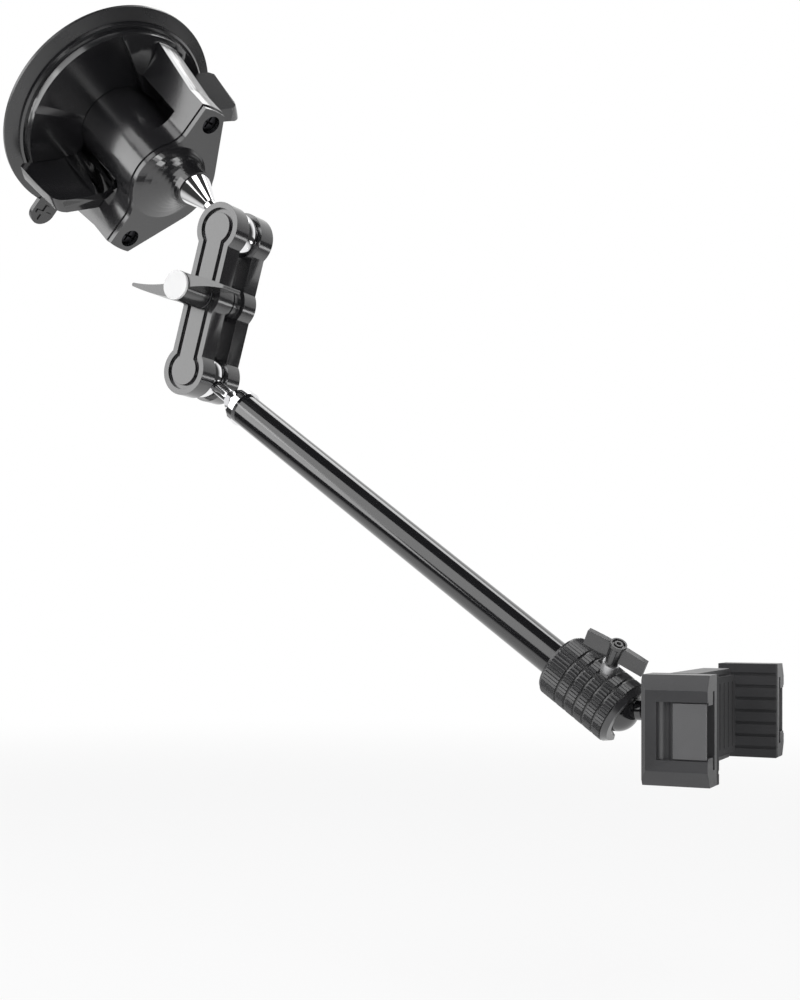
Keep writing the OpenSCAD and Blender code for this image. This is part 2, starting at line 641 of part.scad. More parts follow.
// Tube with its ball stud
cap_r = 6.9;
cap_ring_t = 2.4;
cap_low = 17.4;
stud_tail = 34;
cap_plug = 12;
seat_plug = 10.6;
nick_d = 0.5;
nick_w = 0.9;
flat_r = 7.4;
flat_end_r = 3.5;
flat_in = 0.2;
tube_end = pole_reach - head_back + seat_plug;
module pole_ball_stud() color("silver") at_pole() difference() {
    union() {
        sphere(r = ball_r);
        translate([0, 0, -stud_tail]) cylinder(r = shank_r, h = stud_tail);
    }
    translate([0, 0, -cap_low - neck_in]) ring(shank_r + eps, shank_r - nick_d, nick_w);
}
module pole_top_cap() color("silver") at_pole() difference() {
    union() {
        translate([0, 0, -cap_reach]) cylinder(r = cap_r, h = cap_ring_t);
        translate([0, 0, -cap_reach + cap_ring_t - seat]) intersection() {
            cylinder(r1 = flat_r, r2 = flat_end_r, h = cap_reach - cap_ring_t - cap_low, $fn = 8);
            cylinder(r = cap_r - flat_in, h = cap_reach);
        }
        translate([0, 0, -cap_reach - cap_plug]) cylinder(r = tube_r - tube_wall, h = cap_plug + seat);
    }
    translate([0, 0, -cap_reach - cap_plug - eps]) cylinder(r = shank_r + run, h = cap_reach + cap_plug);
}
module pole_tube() color("black") at_pole() translate([0, 0, -tube_end])
    ring(tube_r, tube_r - tube_wall, tube_end - cap_reach);
module pole_end_plug() color("dimgray") at_pole() translate([0, 0, -tube_end])
    cylinder(r = tube_r - tube_wall, h = cap_plug);

// Ball head, drawn with +Z back up the tube and the knob on +X
cavity_r = grip_ball_r + run;
cavity_h = head_back - seat_plug;
lip_low = 2.6;
front_bevel = 1.6;
groove_t = 0.9;
groove_in = 0.35;
bevel_in = 0.2;
lip_flare = 1.2;
rear_band_share = 0.26;
notch_a = 165.7;
notch_w = 8.8;
notch_h = 4.4;
lock_r = 2.7;
module ball_head_housing() color("black") at_head() difference() {
    union() {
        translate([0, 0, -head_front])
            cylinder(r1 = head_r - front_bevel, r2 = head_r - bevel_in, h = front_bevel + seat);
        translate([0, 0, -head_front + front_bevel])
            cylinder(r = head_r - knurl_d - groove_in, h = head_front + head_back - front_bevel);
        knurled_bands();
    }
    sphere(r = cavity_r);
    cylinder(r = cavity_r, h = cavity_h);
    translate([0, 0, -head_front - eps]) cylinder(r1 = cavity_r + lip_flare,
        r2 = sqrt(cavity_r*cavity_r - lip_low*lip_low), h = head_front - lip_low + eps);
    translate([0, 0, cavity_h - eps]) cylinder(r = tube_r + seat, h = head_back);
    translate([0, 0, head_knob_back]) rotate([0, 90, 0]) cylinder(r = lock_r + run, h = head_r + eps);
    rotate([0, 0, notch_a]) {
        translate([0, -notch_w/2, -head_front - eps])
            cube([head_r + eps, notch_w, head_front + notch_h - notch_w/2 + eps]);
        translate([0, 0, notch_h - notch_w/2]) rotate([0, 90, 0]) cylinder(r = notch_w/2, h = head_r + eps);
    }
}
module knurled_bands() {
    low = -head_front + front_bevel + groove_t/2;
    whole = head_back - low;
    rear = whole*rear_band_share;
    step = (whole - rear)/(band_count - 1);
    for (i = [0:band_count - 1]) translate([0, 0, low + i*step])
        linear_extrude((i == band_count - 1 ? rear : step) - groove_t)
            polygon([for (k = [0:2*knurl_count - 1])
                let (r = k % 2 == 0 ? head_r : head_r - knurl_d, a = k*180/knurl_count) [r*cos(a), r*sin(a)]]);
}
seat_low = 2.4;
seat_top = 10.4;
seat_wire = 0.35;
seat_coil_r = 4.1;
seat_turns = 2;
module ball_seat() color("ivory") at_head() difference() {
    translate([0, 0, seat_low]) cylinder(r = cavity_r - seat, h = seat_top - seat_low);
    sphere(r = cavity_r);
    translate([0, 0, seat_low]) cylinder(r = seat_bore_r, h = seat_top);
    translate([pad_tip, 0, head_knob_back]) rotate([0, 90, 0]) cylinder(r = pad_r + run, h = head_r);
}
seat_bore_r = 2.4;
pad_tip = 4.6;
pad_r = 1.9;
pad_len = 2.5;
module seat_spring() color("silver") at_head() translate([0, 0, seat_top])
    coil(seat_coil_r, seat_wire, cavity_h - seat_top, seat_turns);
module pressure_pad() color("gold") at_head() translate([pad_tip + gap/3, 0, head_knob_back])
    rotate([0, 90, 0]) cylinder(r = pad_r, h = pad_len - gap/3);
hk_hub_r = 2.6;
hk_foot_r = 2.1;
hk_hub_len = 8;
hk_bore_r = 1.3;
hk_top_t = 1.2;
hk_wing_t = 1.9;
hk_wing_h = 6;
hk_wing_low = 1.6;
hk_wing_a = 12.1;
hk_tip_drop = 0.5;
hk_ring_out = 2.1;
hk_ring_in = 1.35;
hk_dot_r = 0.7;
hk_ring_d = 0.6;
module lock_screw() color("silver") at_head() translate([pad_tip + pad_len, 0, head_knob_back])
    rotate([0, 90, 0]) union() {
        cylinder(r = lock_r, h = head_knob_reach - hk_hub_len - pad_tip - pad_len - face_gap);
        cylinder(r = hk_bore_r, h = head_knob_reach - pad_tip - pad_len - hk_top_t - gap);
    }
module head_knob() color("black") at_head() translate([head_knob_reach - hk_hub_len, 0, head_knob_back])
    rotate([0, 90, 0]) difference() {
        union() {
            cylinder(r1 = hk_foot_r, r2 = hk_hub_r, h = hk_hub_len - hk_ring_d);
            cylinder(r = hk_foot_r, h = hk_hub_len);
            translate([0, 0, hk_hub_len - hk_top_t]) cylinder(r = hk_hub_r + cap_lip, h = hk_top_t);
            rotate([0, 0, hk_wing_a]) translate([0, hk_wing_t/2, hk_wing_low]) rotate([90, 0, 0])
                linear_extrude(hk_wing_t) hk_wings();
        }
        translate([0, 0, -eps]) cylinder(r = hk_bore_r + seat, h = hk_hub_len - hk_top_t + eps);
        translate([0, 0, hk_hub_len - hk_ring_d]) ring(hk_ring_out, hk_ring_in, hk_ring_d + eps);
        translate([0, 0, hk_hub_len - hk_ring_d]) cylinder(r = hk_dot_r, h = hk_ring_d + eps);
    }
module hk_wings() {
    w = head_wing_w/2;
    steps = 10;
    polygon(concat([[-w, 0], [w, 0]],
        [for (i = [0:2*steps]) let (x = w*(1 - i/steps)) [x, hk_wing_h - hk_tip_drop*pow(abs(x)/w, 2)]]));
}

// Phone clamp, drawn at the ball in the head with the phone towards -Y
waist_r = 3.1;
waist_len = 7.9;
neck_big_r = 4.1;
neck_step = 0.8;
clamp_neck_end = 14.8;
lock_nut_t = 2.6;
lock_nut_af = 13;
lock_nut_r = 7.1;
boss_out_r = 7;
thread_r = 3;
thread_len = 3.4;
module clamp_ball_stud() color("black") at_grip() rotate([90, 0, 0]) union() {
    sphere(r = grip_ball_r);
    cylinder(r = waist_r, h = waist_len + seat);
    translate([0, 0, waist_len]) cylinder(r1 = waist_r, r2 = neck_big_r, h = neck_step);
    translate([0, 0, waist_len + neck_step - seat])
        cylinder(r = neck_big_r, h = clamp_neck_end - waist_len - neck_step + seat);
    translate([0, 0, clamp_neck_end - seat]) cylinder(r = thread_r, h = lock_nut_t + thread_len);
}
module clamp_lock_nut() color("gray") at_grip() rotate([90, 0, 0])
    translate([0, 0, clamp_neck_end + face_gap]) difference() {
    intersection() {
        hex(lock_nut_af, lock_nut_t);
        cylinder(r = lock_nut_r, h = lock_nut_t);
    }
    translate([0, 0, -eps]) cylinder(r = thread_r + run, h = lock_nut_t + 2*eps);
}

module at_body() { at_grip() translate([0, 0, -clamp_drop]) children(); }
body_wall = 1.6;
floor_t = 1.3;
rack_low = 3;
rack_top = 8.5;
bar_t = 3.4;
bar_in = 0.3;
chan_top = body_h/2 - body_wall;
post_w = 4.6;
post_half_h = 1.9;
body_r = 3;
cover_y = body_back + rear_t;
pad_y = cover_y + cover_t;
face_y = pad_y + pad_t;
screw_xz = [body_w/2 - body_wall - post_w/2, chan_top - post_half_h];
small_r = 0.9;
small_head_r = 1.8;
small_head_t = 1.3;
small_slack = 0.1;
screw_bite = 1.6;
slot_len = 2.2;
slot_cut = 0.7;
axle_in = 0.6;
axle_tip = 1.6;
pad_edge = 2;
pad_seat = 0.6;
module y_slab(w, h, r, y0, t) { translate([0, -y0, 0]) rotate([90, 0, 0]) rounded(w, h, t, r); }
module clamp_rear_shell() color("black") at_body() difference() {
    union() {
        y_slab(body_w, body_h, body_r, body_back, rear_t);
        translate([0, -clamp_neck_end - lock_nut_t - 2*face_gap, clamp_drop]) rotate([90, 0, 0])
            cylinder(r = boss_out_r, h = body_back - clamp_neck_end - lock_nut_t + seat);
    }
    difference() {
        y_slab(body_w - 2*body_wall, body_h - 2*body_wall, body_r - body_wall, body_back + floor_t, rear_t);
        for (s = [-1, 1], q = [-1, 1]) translate([s*screw_xz[0], 0, q*screw_xz[1]])
            translate([-post_w/2 - (s > 0 ? 0 : eps), -body_back - rear_t - eps,
                -post_half_h - (q > 0 ? 0 : eps)])
                cube([post_w + eps, rear_t + 2*eps, 2*post_half_h + eps]);
    }
    for (s = [0, 180]) rotate([0, s, 0]) translate([-body_w, -cover_y - eps, rack_low - bar_in])
        cube([body_w, rear_t - floor_t + eps, rack_top - rack_low + 2*bar_in]);
    translate([0, 0, clamp_drop]) rotate([90, 0, 0])
        cylinder(r = thread_r + run, h = clamp_neck_end + lock_nut_t + thread_len + gap);
    for (s = [-1, 1], q = [-1, 1]) translate([s*screw_xz[0], 0, q*screw_xz[1]]) rotate([90, 0, 0]) {
        translate([0, 0, body_back - eps]) cylinder(r = small_r, h = rear_t + 2*eps);
        translate([0, 0, body_back - eps]) cylinder(r = small_head_r, h = eps + small_head_t);
    }
    rotate([90, 0, 0]) translate([0, 0, cover_y - rear_t + axle_in])
        cylinder(r = axle_r, h = rear_t);
}
axle_r = 1;
rib_half = 4;
rib_pitch = 5.6;
rib_d = 0.5;
module clamp_front_cover() color("black") at_body() difference() {
    y_slab(body_w, body_h, body_r, cover_y, cover_t);
    for (s = [-1, 1], q = [-1, 1]) translate([s*screw_xz[0], -cover_y + eps, q*screw_xz[1]]) rotate([90, 0, 0])
        cylinder(r = small_r, h = 2*eps + eps);
    translate([0, -cover_y + eps, 0]) rotate([90, 0, 0]) cylinder(r = axle_r, h = eps + axle_tip);
    y_slab(body_w - 2*pad_edge, body_h - 2*pad_edge, body_r - pad_edge/2, pad_y - pad_seat, cover_t);
}
module clamp_back_pad() color("dimgray") at_body() difference() {
    y_slab(body_w - 2*pad_edge - 2*seat, body_h - 2*pad_edge - 2*seat, body_r - pad_edge/2,
        pad_y - pad_seat, pad_t + pad_seat);
    for (i = [-rib_half:rib_half]) translate([(i - 0.07)*rib_pitch, -face_y - eps, -body_h/2 + 2*pad_edge])
        cube([rib_pitch/7, rib_d + eps, body_h - 4*pad_edge]);
}
module clamp_screws() color("silver") at_body() for (s = [-1, 1], q = [-1, 1])
    translate([s*screw_xz[0], 0, q*screw_xz[1]]) rotate([90, 0, 0]) difference() {
        union() {
            translate([0, 0, body_back + small_slack])
                cylinder(r = small_head_r - small_slack, h = small_head_t - small_slack);
            translate([0, 0, body_back + 2*small_slack]) cylinder(r = small_r, h = rear_t + screw_bite);
        }
        for (a = [0, 90]) rotate([0, 0, a]) translate([-slot_len/2, -nick_d/2, body_back - eps])
            cube([slot_len, nick_d, eps + slot_cut]);
    }

// Rack and pinion: the pinion keeps both jaws in step
gear_teeth = 16;
gear_m = 0.5;
pitch_r = gear_m*gear_teeth/2;
add = 0.4;
ded = 0.62;
backlash = 0.12;
pressure = 20;
base_r = pitch_r*cos(pressure);
gear_t = 3;
function inv_deg(r) = let (c = base_r/max(r, base_r), a = acos(c)) (tan(a) - a*PI/180)*180/PI;
half_a = 90/gear_teeth - backlash/2/pitch_r*180/PI;
function flank(r) = half_a + inv_deg(pitch_r) - inv_deg(r);
gear_radii = [for (k = [0:5]) let (lo = pitch_r - ded, hi = pitch_r + add) lo + (hi - lo)*k/5];
gear_pts = [for (i = [0:gear_teeth - 1]) let (c = (i + 0.5)*360/gear_teeth) each concat(
    [for (k = [0:5]) let (r = gear_radii[k], a = c - flank(r)) [r*cos(a), r*sin(a)]],
    [for (k = [5:-1:0]) let (r = gear_radii[k], a = c + flank(r)) [r*cos(a), r*sin(a)]])];
bar_y = body_back + floor_t + gap;
module pinion() color("gold") at_body() rotate([90, 0, 0]) translate([0, 0, bar_y]) difference() {
    linear_extrude(gear_t) polygon(gear_pts);
    translate([0, 0, -eps]) cylinder(r = axle_r + run, h = gear_t + 2*eps);
}
module pinion_axle() color("silver") at_body() rotate([90, 0, 0])
    translate([0, 0, cover_y - rear_t + axle_in]) cylinder(r = axle_r, h = rear_t - axle_in + axle_tip);

pitch = PI*gear_m;
rack_teeth = 13;
bar_end = 13;
hook_w = 2.2;
hook_gap = 0.4;
hook_top = chan_top - hook_gap;
root_in = 3;
jaw_turns = 18;
// Rack of the left jaw, above the pinion; x runs along the bar
module rack_bar() {
    line_z = pitch_r;
    tip = line_z - add;
    root = line_z + ded;
    tw = pitch/4 - backlash/4;
    tt = tan(pressure);
    jaw_x = grip_gap/2 + pad_thick;
    translate([0, -bar_y, 0]) rotate([90, 0, 0]) linear_extrude(bar_t) union() {
        translate([-jaw_x - root_in, root]) square([jaw_x + root_in + bar_end, rack_top - root]);
        for (i = [0:rack_teeth - 1]) let (x = (i - (rack_teeth - 1)/2)*pitch)
            polygon([[x - tw - ded*tt, root + seat], [x - tw + add*tt, tip], [x + tw - add*tt, tip],
                [x + tw + ded*tt, root + seat]]);
        translate([bar_end - hook_w, root]) square([hook_w, hook_top - root]);
    }
}
spring_x = body_w/2 - body_wall - post_w - seat;
module jaw_spring() translate([-spring_x, -bar_y - bar_t/2, rack_top + (chan_top - rack_top)/2])
    rotate([0, 90, 0]) coil(jaw_coil_r, jaw_wire, spring_x + bar_end - hook_w, jaw_turns);
jaw_coil_r = 1.25;
jaw_wire = 0.3;
module left_rack() color("dimgray") at_body() rack_bar();
module right_rack() color("dimgray") at_body() rotate([0, 180, 0]) rack_bar();
module left_spring() color("silver") at_body() jaw_spring();
module right_spring() color("silver") at_body() rotate([0, 180, 0]) jaw_spring();

// Jaws, drawn for the left jaw with its outer face on -X
pad_thick = 2.6;
frame_w = jaw_w - pad_thick;
jaw_cham = 4.2;
jaw_cham_in = 2.4;
back_cham = 1.5;
window_h = 16;
window_back = 4.6;
trough_w = 4.2;
trough_d = 1.9;
panel_d = 0.9;
panel_t = 0.7;
line_w = 0.35;
slot_x = 5.9;
slot_w = 1.9;
slot_h = 21.7;
slot_d = 11;
ledge_w = 0.8;
hollow_d = 9;
jaw_rib_d = 0.6;
jaw_rib_w = 1;
jaw_rib_pitch = 4;
module jaw_frame() translate([-grip_gap/2 - jaw_w, 0, 0]) difference() {
    translate([0, -jaw_back, 0]) rotate([90, 0, 0]) linear_extrude(jaw_d) polygon([
        [jaw_cham_in, -jaw_h/2], [frame_w, -jaw_h/2], [frame_w, jaw_h/2], [jaw_cham_in, jaw_h/2],
        [0, jaw_h/2 - jaw_cham], [0, -jaw_h/2 + jaw_cham]]);
    translate([-eps, -jaw_back - jaw_d - eps, -window_h/2])
        cube([panel_d + eps, jaw_d - window_back - trough_w/2 + eps, window_h]);
    translate([-trough_w/2 + trough_d, -jaw_back - window_back - trough_w/2, -window_h/2])
        cylinder(r = trough_w/2, h = window_h);
    translate([-trough_w/2 - eps, -jaw_back - window_back - trough_w, -window_h/2])
        cube([trough_d + eps, trough_w, window_h]);
    translate([slot_x, -jaw_back - jaw_d - eps, -slot_h/2]) cube([slot_w, slot_d + eps, slot_h]);
    translate([panel_d/2, -jaw_back - jaw_d - eps, -window_h/2 + ledge_w])
        cube([slot_x + slot_w/2 - panel_d/2, hollow_d + eps, window_h - 2*ledge_w]);
    translate([0, -jaw_back, 0]) rotate([0, 0, 45]) translate([-jaw_d, -back_cham/sqrt(2), -jaw_h])
        cube([2*jaw_d, jaw_d, 2*jaw_h]);
}
module rack_socket(s) {
    translate([-grip_gap/2 - pad_thick - root_in - seat, -bar_y - bar_t - seat,
        s > 0 ? pitch_r + ded - seat : -rack_top - seat])
        cube([2*root_in, bar_t + 2*seat, rack_top - pitch_r - ded + 2*seat]);
}
module jaw_insert()
    translate([-grip_gap/2 - jaw_w + panel_d - panel_t, -jaw_back - jaw_d + line_w, -window_h/2 + line_w])
        cube([panel_t, jaw_d - window_back - trough_w - line_w*2, window_h - 2*line_w]);
module jaw_pad() difference() {
    translate([-grip_gap/2 - pad_thick, -jaw_back - jaw_d, -jaw_h/2]) cube([pad_thick, jaw_d, jaw_h]);
    for (i = [-3:3]) translate([-grip_gap/2 - jaw_rib_d, -jaw_back - jaw_d - eps, i*jaw_rib_pitch - jaw_rib_w/2])
        cube([jaw_rib_d + eps, jaw_d + 2*eps, jaw_rib_w]);
    rack_socket(1);
}
module left_jaw_frame() color("black") at_body() difference() { jaw_frame(); rack_socket(1); }
module left_jaw_insert() color("dimgray") at_body() jaw_insert();
module left_jaw_pad() color("gray") at_body() jaw_pad();
module right_jaw_frame() color("black") at_body() mirror([1, 0, 0]) difference() { jaw_frame(); rack_socket(-1); }
module right_jaw_insert() color("dimgray") at_body() mirror([1, 0, 0]) jaw_insert();
module right_jaw_pad() color("gray") at_body() mirror([1, 0, 0]) mirror([0, 0, 1]) jaw_pad();

suction_membrane();
base_housing();
cup_bridge();
twist_lever();
cam_ring();
pull_stem();
cam_pin();
lever_washer();
ball_plate();
plate_screws();
base_ball_stud();
stud_nut();
arm_half_far();
arm_half_near();
arm_bolt();
arm_spring();
knob_washer();
arm_knob();
knob_nut();
knob_cap();
pole_ball_stud();
pole_top_cap();
pole_tube();
pole_end_plug();
ball_head_housing();
ball_seat();
seat_spring();
pressure_pad();
lock_screw();
head_knob();
clamp_ball_stud();
clamp_lock_nut();
clamp_rear_shell();
clamp_front_cover();
clamp_back_pad();
clamp_screws();
pinion();
pinion_axle();
left_jaw_frame();
left_jaw_insert();
left_jaw_pad();
left_rack();
left_spring();
right_jaw_frame();
right_jaw_insert();
right_jaw_pad();
right_rack();
right_spring();
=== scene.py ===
import json
import math

import bpy
import bmesh
from mathutils import Matrix, Vector


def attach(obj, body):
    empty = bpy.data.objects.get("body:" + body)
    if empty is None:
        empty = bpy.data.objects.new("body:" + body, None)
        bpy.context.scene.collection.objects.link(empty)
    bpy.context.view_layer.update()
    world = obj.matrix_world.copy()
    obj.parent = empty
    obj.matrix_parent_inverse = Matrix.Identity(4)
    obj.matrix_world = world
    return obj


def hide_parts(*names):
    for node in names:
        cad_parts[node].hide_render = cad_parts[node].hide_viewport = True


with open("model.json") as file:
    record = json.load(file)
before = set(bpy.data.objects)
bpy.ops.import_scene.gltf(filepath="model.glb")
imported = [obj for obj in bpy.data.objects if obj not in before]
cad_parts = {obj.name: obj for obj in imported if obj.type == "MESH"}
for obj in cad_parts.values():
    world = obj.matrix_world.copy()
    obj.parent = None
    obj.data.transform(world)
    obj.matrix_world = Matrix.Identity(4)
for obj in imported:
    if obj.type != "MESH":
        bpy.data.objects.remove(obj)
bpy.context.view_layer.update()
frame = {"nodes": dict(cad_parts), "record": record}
mm = 0.001


class Socket:
    """A node's output. An expression on sockets adds its Math nodes."""

    def __init__(self, build, link):
        self.build = build
        self.link = link

    def calculated(self, operation, first, second):
        return self.build.node("ShaderNodeMath", {"operation": operation}, {0: first, 1: second})

    def __add__(self, other):
        return self.calculated("ADD", self, other)

    def __radd__(self, other):
        return self.calculated("ADD", other, self)

    def __sub__(self, other):
        return self.calculated("SUBTRACT", self, other)

    def __rsub__(self, other):
        return self.calculated("SUBTRACT", other, self)

    def __mul__(self, other):
        return self.calculated("MULTIPLY", self, other)

    def __rmul__(self, other):
        return self.calculated("MULTIPLY", other, self)

    def __gt__(self, other):
        return self.calculated("GREATER_THAN", self, other)

    def clamped(self):
        return self.build.node("ShaderNodeClamp", {}, {"Value": self})


class Tree:
    """A node tree, and the calls that add nodes to it."""

    def __init__(self, holder):
        holder.use_nodes = True
        self.tree = holder.node_tree

    def feed(self, socket, value):
        """Links a socket to a Socket's node, or sets it to a plain value."""
        if isinstance(value, Socket):
            self.tree.links.new(value.link, socket)
        else:
            socket.default_value = value

    def node(self, kind, settings, inputs, output=0):
        made = self.tree.nodes.new(kind)
        for name, value in settings.items():
            setattr(made, name, value)
        for name, value in inputs.items():
            self.feed(made.inputs[name], value)
        return Socket(self, made.outputs[output])

    def largest(self, first, *others):
        for other in others:
            first = self.node("ShaderNodeMath", {"operation": "MAXIMUM"}, {0: first, 1: other})
        return first

    def ray(self, kind):
        return self.node("ShaderNodeLightPath", {}, {}, kind)

    def seen(self):
        """1 on rays from the camera and on rays that pass through glass."""
        return self.largest(self.ray("Is Camera Ray"), self.ray("Is Transmission Ray"))

    def mirrored(self):
        """1 on rays that a shiny surface sends on."""
        return self.ray("Is Glossy Ray")

    def along(self, direction, axis):
        """How far a unit direction points along an axis, from -1 to 1."""
        return self.node("ShaderNodeVectorMath", {"operation": "DOT_PRODUCT"},
                         {0: direction, 1: axis}, "Value")

    def ramp(self, value, low, high):
        """A smooth step, 0 up to low and 1 from high."""
        return self.node("ShaderNodeMapRange", {"interpolation_type": "SMOOTHSTEP"},
                         {"Value": value, "From Min": low, "From Max": high})

    def mixed(self, factor, first, second):
        return self.node("ShaderNodeMixShader", {}, {0: factor, 1: first, 2: second})


class Finish(Tree):
    """One material, and the patterns that vary it over the surface."""

    def __init__(self, name):
        self.material = bpy.data.materials.new(name)
        super().__init__(self.material)
        self.shader = self.tree.nodes["Principled BSDF"]

    def noise(self, scale, detail, rough=0.5, stretch=(1, 1, 1)):
        spot = self.node("ShaderNodeTexCoord", {}, {}, "Object")
        place = self.node("ShaderNodeMapping", {"vector_type": "POINT"}, {"Vector": spot, "Scale": stretch})
        return self.node("ShaderNodeTexNoise", {},
                         {"Vector": place, "Scale": scale, "Detail": detail, "Roughness": rough}, "Fac")

    def tone(self, factor, dark, light):
        """A colour between two. Sockets 6 and 7 of a Mix node take them, and socket 2 gives the result."""
        return self.node("ShaderNodeMix", {"data_type": "RGBA"},
                         {"Factor": factor, 6: (*dark, 1), 7: (*light, 1)}, 2)

    def bump(self, height, strength, depth):
        return self.node("ShaderNodeBump", {}, {"Height": height, "Strength": strength, "Distance": depth})

    def painted_edge_highlight(self):
        """Mask of a painted highlight: 1 on the outer edges and 0 away from them, by how far the surface
        points outwards.
        """
        flat, sharp = 0.515, 0.56
        point = self.node("ShaderNodeNewGeometry", {}, {}, "Pointiness")
        return self.node("ShaderNodeMapRange", {}, {"Value": point, "From Min": flat, "From Max": sharp})

    def set(self, **values):
        for name, value in values.items():
            plain = (*value, 1) if isinstance(value, tuple) else value
            self.feed(self.shader.inputs[name.replace("_", " ")], plain)
        return self.material


# Finishes of the holder's pieces
def cup_rubber():
    finish = Finish("cup_rubber_black")
    cloud = finish.noise(scale=60, detail=4)
    grain = finish.noise(scale=2600, detail=2)
    return finish.set(Base_Color=finish.tone(cloud, (0.009, 0.009, 0.010), (0.018, 0.018, 0.019)),
                      Roughness=0.2 + 0.14*cloud, Specular_IOR_Level=0.9,
                      Normal=finish.bump(grain, strength=0.06, depth=0.12*mm))


def gloss_black(name, dark, light, rough, wave=0.06, coat=0.25):
    """Glossy black with a faint orange peel and specks of dust."""
    finish = Finish(name)
    cloud = finish.noise(scale=45, detail=5)
    peel = finish.noise(scale=700, detail=2)
    dust = finish.noise(scale=5200, detail=1) > 0.79
    return finish.set(Base_Color=finish.tone(cloud, dark, light), Roughness=rough + 0.07*cloud + 0.1*dust,
                      Specular_IOR_Level=1.0, Coat_Weight=coat, Coat_Roughness=0.08,
                      Normal=finish.bump(peel, strength=wave, depth=0.2*mm))


def chrome():
    finish = Finish("bright_chrome")
    smear = finish.noise(scale=90, detail=4)
    polish = finish.noise(scale=1800, detail=2)
    return finish.set(Base_Color=(0.86, 0.86, 0.87), Metallic=1.0, Roughness=0.05 + 0.06*smear,
                      Normal=finish.bump(polish, strength=0.015, depth=0.1*mm))


def brushed_metal(name, tint, rough):
    finish = Finish(name)
    brush = finish.noise(scale=900, detail=3, stretch=(1, 1, 14))
    shaded = tuple(0.8*channel for channel in tint)
    return finish.set(Base_Color=finish.tone(brush, shaded, tint), Metallic=1.0,
                      Roughness=rough + 0.14*brush, Normal=finish.bump(brush, strength=0.08, depth=0.1*mm))


def nut_grey():
    finish = Finish("nut_grey_metal")
    cloud = finish.noise(scale=70, detail=4)
    fleck = finish.noise(scale=3600, detail=2)
    return finish.set(Base_Color=finish.tone(cloud, (0.16, 0.16, 0.165), (0.24, 0.24, 0.245)),
                      Metallic=0.8, Roughness=0.3 + 0.08*cloud, Specular_IOR_Level=0.6,
                      Coat_Weight=0.3, Coat_Roughness=0.14,
                      Normal=finish.bump(fleck, strength=0.1, depth=0.08*mm))


def moulded(name, dark, light, rough, grain=0.35):
    """Moulded plastic with a fine spark-eroded grain, and a painted highlight that makes its outer edges
    paler and glossier.
    """
    finish = Finish(name)
    cloud = finish.noise(scale=55, detail=4)
    spark = finish.noise(scale=2400, detail=3, rough=0.6)
    # Painted highlight: the outer edges get a paler colour that stands in for the light they catch
    edge_highlight = finish.painted_edge_highlight()
    return finish.set(Base_Color=finish.tone((0.7*cloud + 0.5*edge_highlight).clamped(), dark, light),
                      Roughness=rough + 0.12*cloud - 0.08*edge_highlight, Specular_IOR_Level=0.5,
                      Normal=finish.bump(spark, strength=grain, depth=0.12*mm))


def pad_rubber():
    finish = Finish("pad_soft_rubber")
    cloud = finish.noise(scale=80, detail=4)
    grain = finish.noise(scale=3200, detail=3, rough=0.65)
    return finish.set(Base_Color=finish.tone(cloud, (0.012, 0.012, 0.013), (0.028, 0.028, 0.030)),
                      Roughness=0.66 + 0.16*cloud, Specular_IOR_Level=0.4,
                      Normal=finish.bump(grain, strength=0.4, depth=0.15*mm))


finishes = {
    "cup_rubber": cup_rubber(),
    "gloss_black": gloss_black("cup_gloss_black", (0.006, 0.006, 0.007), (0.013, 0.013, 0.014), rough=0.15),
    "acetal": moulded("natural_acetal", (0.62, 0.61, 0.57), (0.74, 0.73, 0.70), rough=0.42, grain=0.1),
    "steel": brushed_metal("zinc_steel", (0.78, 0.78, 0.79), rough=0.4),
    "dark_screw": brushed_metal("black_zinc_screw", (0.05, 0.05, 0.055), rough=0.3),
    "chrome": chrome(),
    "arm_black": gloss_black("arm_anodised_black", (0.010, 0.010, 0.011), (0.018, 0.018, 0.019),
                             rough=0.16, wave=0.03, coat=0.4),
    "spring_wire": brushed_metal("bright_wire", (0.6, 0.6, 0.6), rough=0.22),
    "knob_black": gloss_black("knob_satin_black", (0.010, 0.010, 0.011), (0.018, 0.018, 0.019), rough=0.2),
    "pale_cap": moulded("pale_knob_cap", (0.52, 0.52, 0.52), (0.62, 0.62, 0.62), rough=0.25, grain=0.05),
    "tube_black": gloss_black("tube_gloss_black", (0.004, 0.004, 0.005), (0.009, 0.009, 0.010),
                              rough=0.08, wave=0.012),
    "plug_plastic": moulded("plug_plastic", (0.02, 0.02, 0.02), (0.04, 0.04, 0.04), rough=0.5),
    "head_black": gloss_black("head_knurled_black", (0.016, 0.016, 0.017), (0.03, 0.03, 0.032),
                              rough=0.24, wave=0.05, coat=0.3),
    "brass": brushed_metal("turned_brass", (0.62, 0.45, 0.18), rough=0.24),
    "nut_grey": nut_grey(),
    "clamp_black": moulded("clamp_satin_charcoal", (0.018, 0.018, 0.019), (0.042, 0.042, 0.044),
                           rough=0.34, grain=0.3),
    "insert_black": moulded("insert_satin_charcoal", (0.046, 0.046, 0.047), (0.088, 0.088, 0.090), rough=0.4),
    "pad_rubber": pad_rubber(),
}
slot_of = {part["node"]: part["material_slot"] for part in frame["record"]["subparts"]}
bodies = frame["record"]["behaviour"]["bodies"]
body_of_node = {node: body for body, nodes in bodies.items() for node in nodes}
for node, cad in frame["nodes"].items():
    for held in cad.material_slots:
        held.material = finishes[slot_of[node]]

# Widths in mm of the rounded edges that catch the light on the moulded pieces
edge_widths = {
    "base_housing": 0.35,
    "cup_bridge": 0.45,
    "twist_lever": 0.5,
    "arm_half_far": 0.3,
    "arm_half_near": 0.3,
    "clamp_rear_shell": 0.35,
    "clamp_front_cover": 0.35,
    "left_jaw_frame": 0.3,
    "right_jaw_frame": 0.3,
    "left_jaw_insert": 0.2,
    "right_jaw_insert": 0.2,
    "arm_knob": 0.35,
    "head_knob": 0.25,
}
merge_distance = 0.002*mm
flat_angle = math.radians(0.6)
crease_angle = math.radians(26)
edge_angle = math.radians(28)


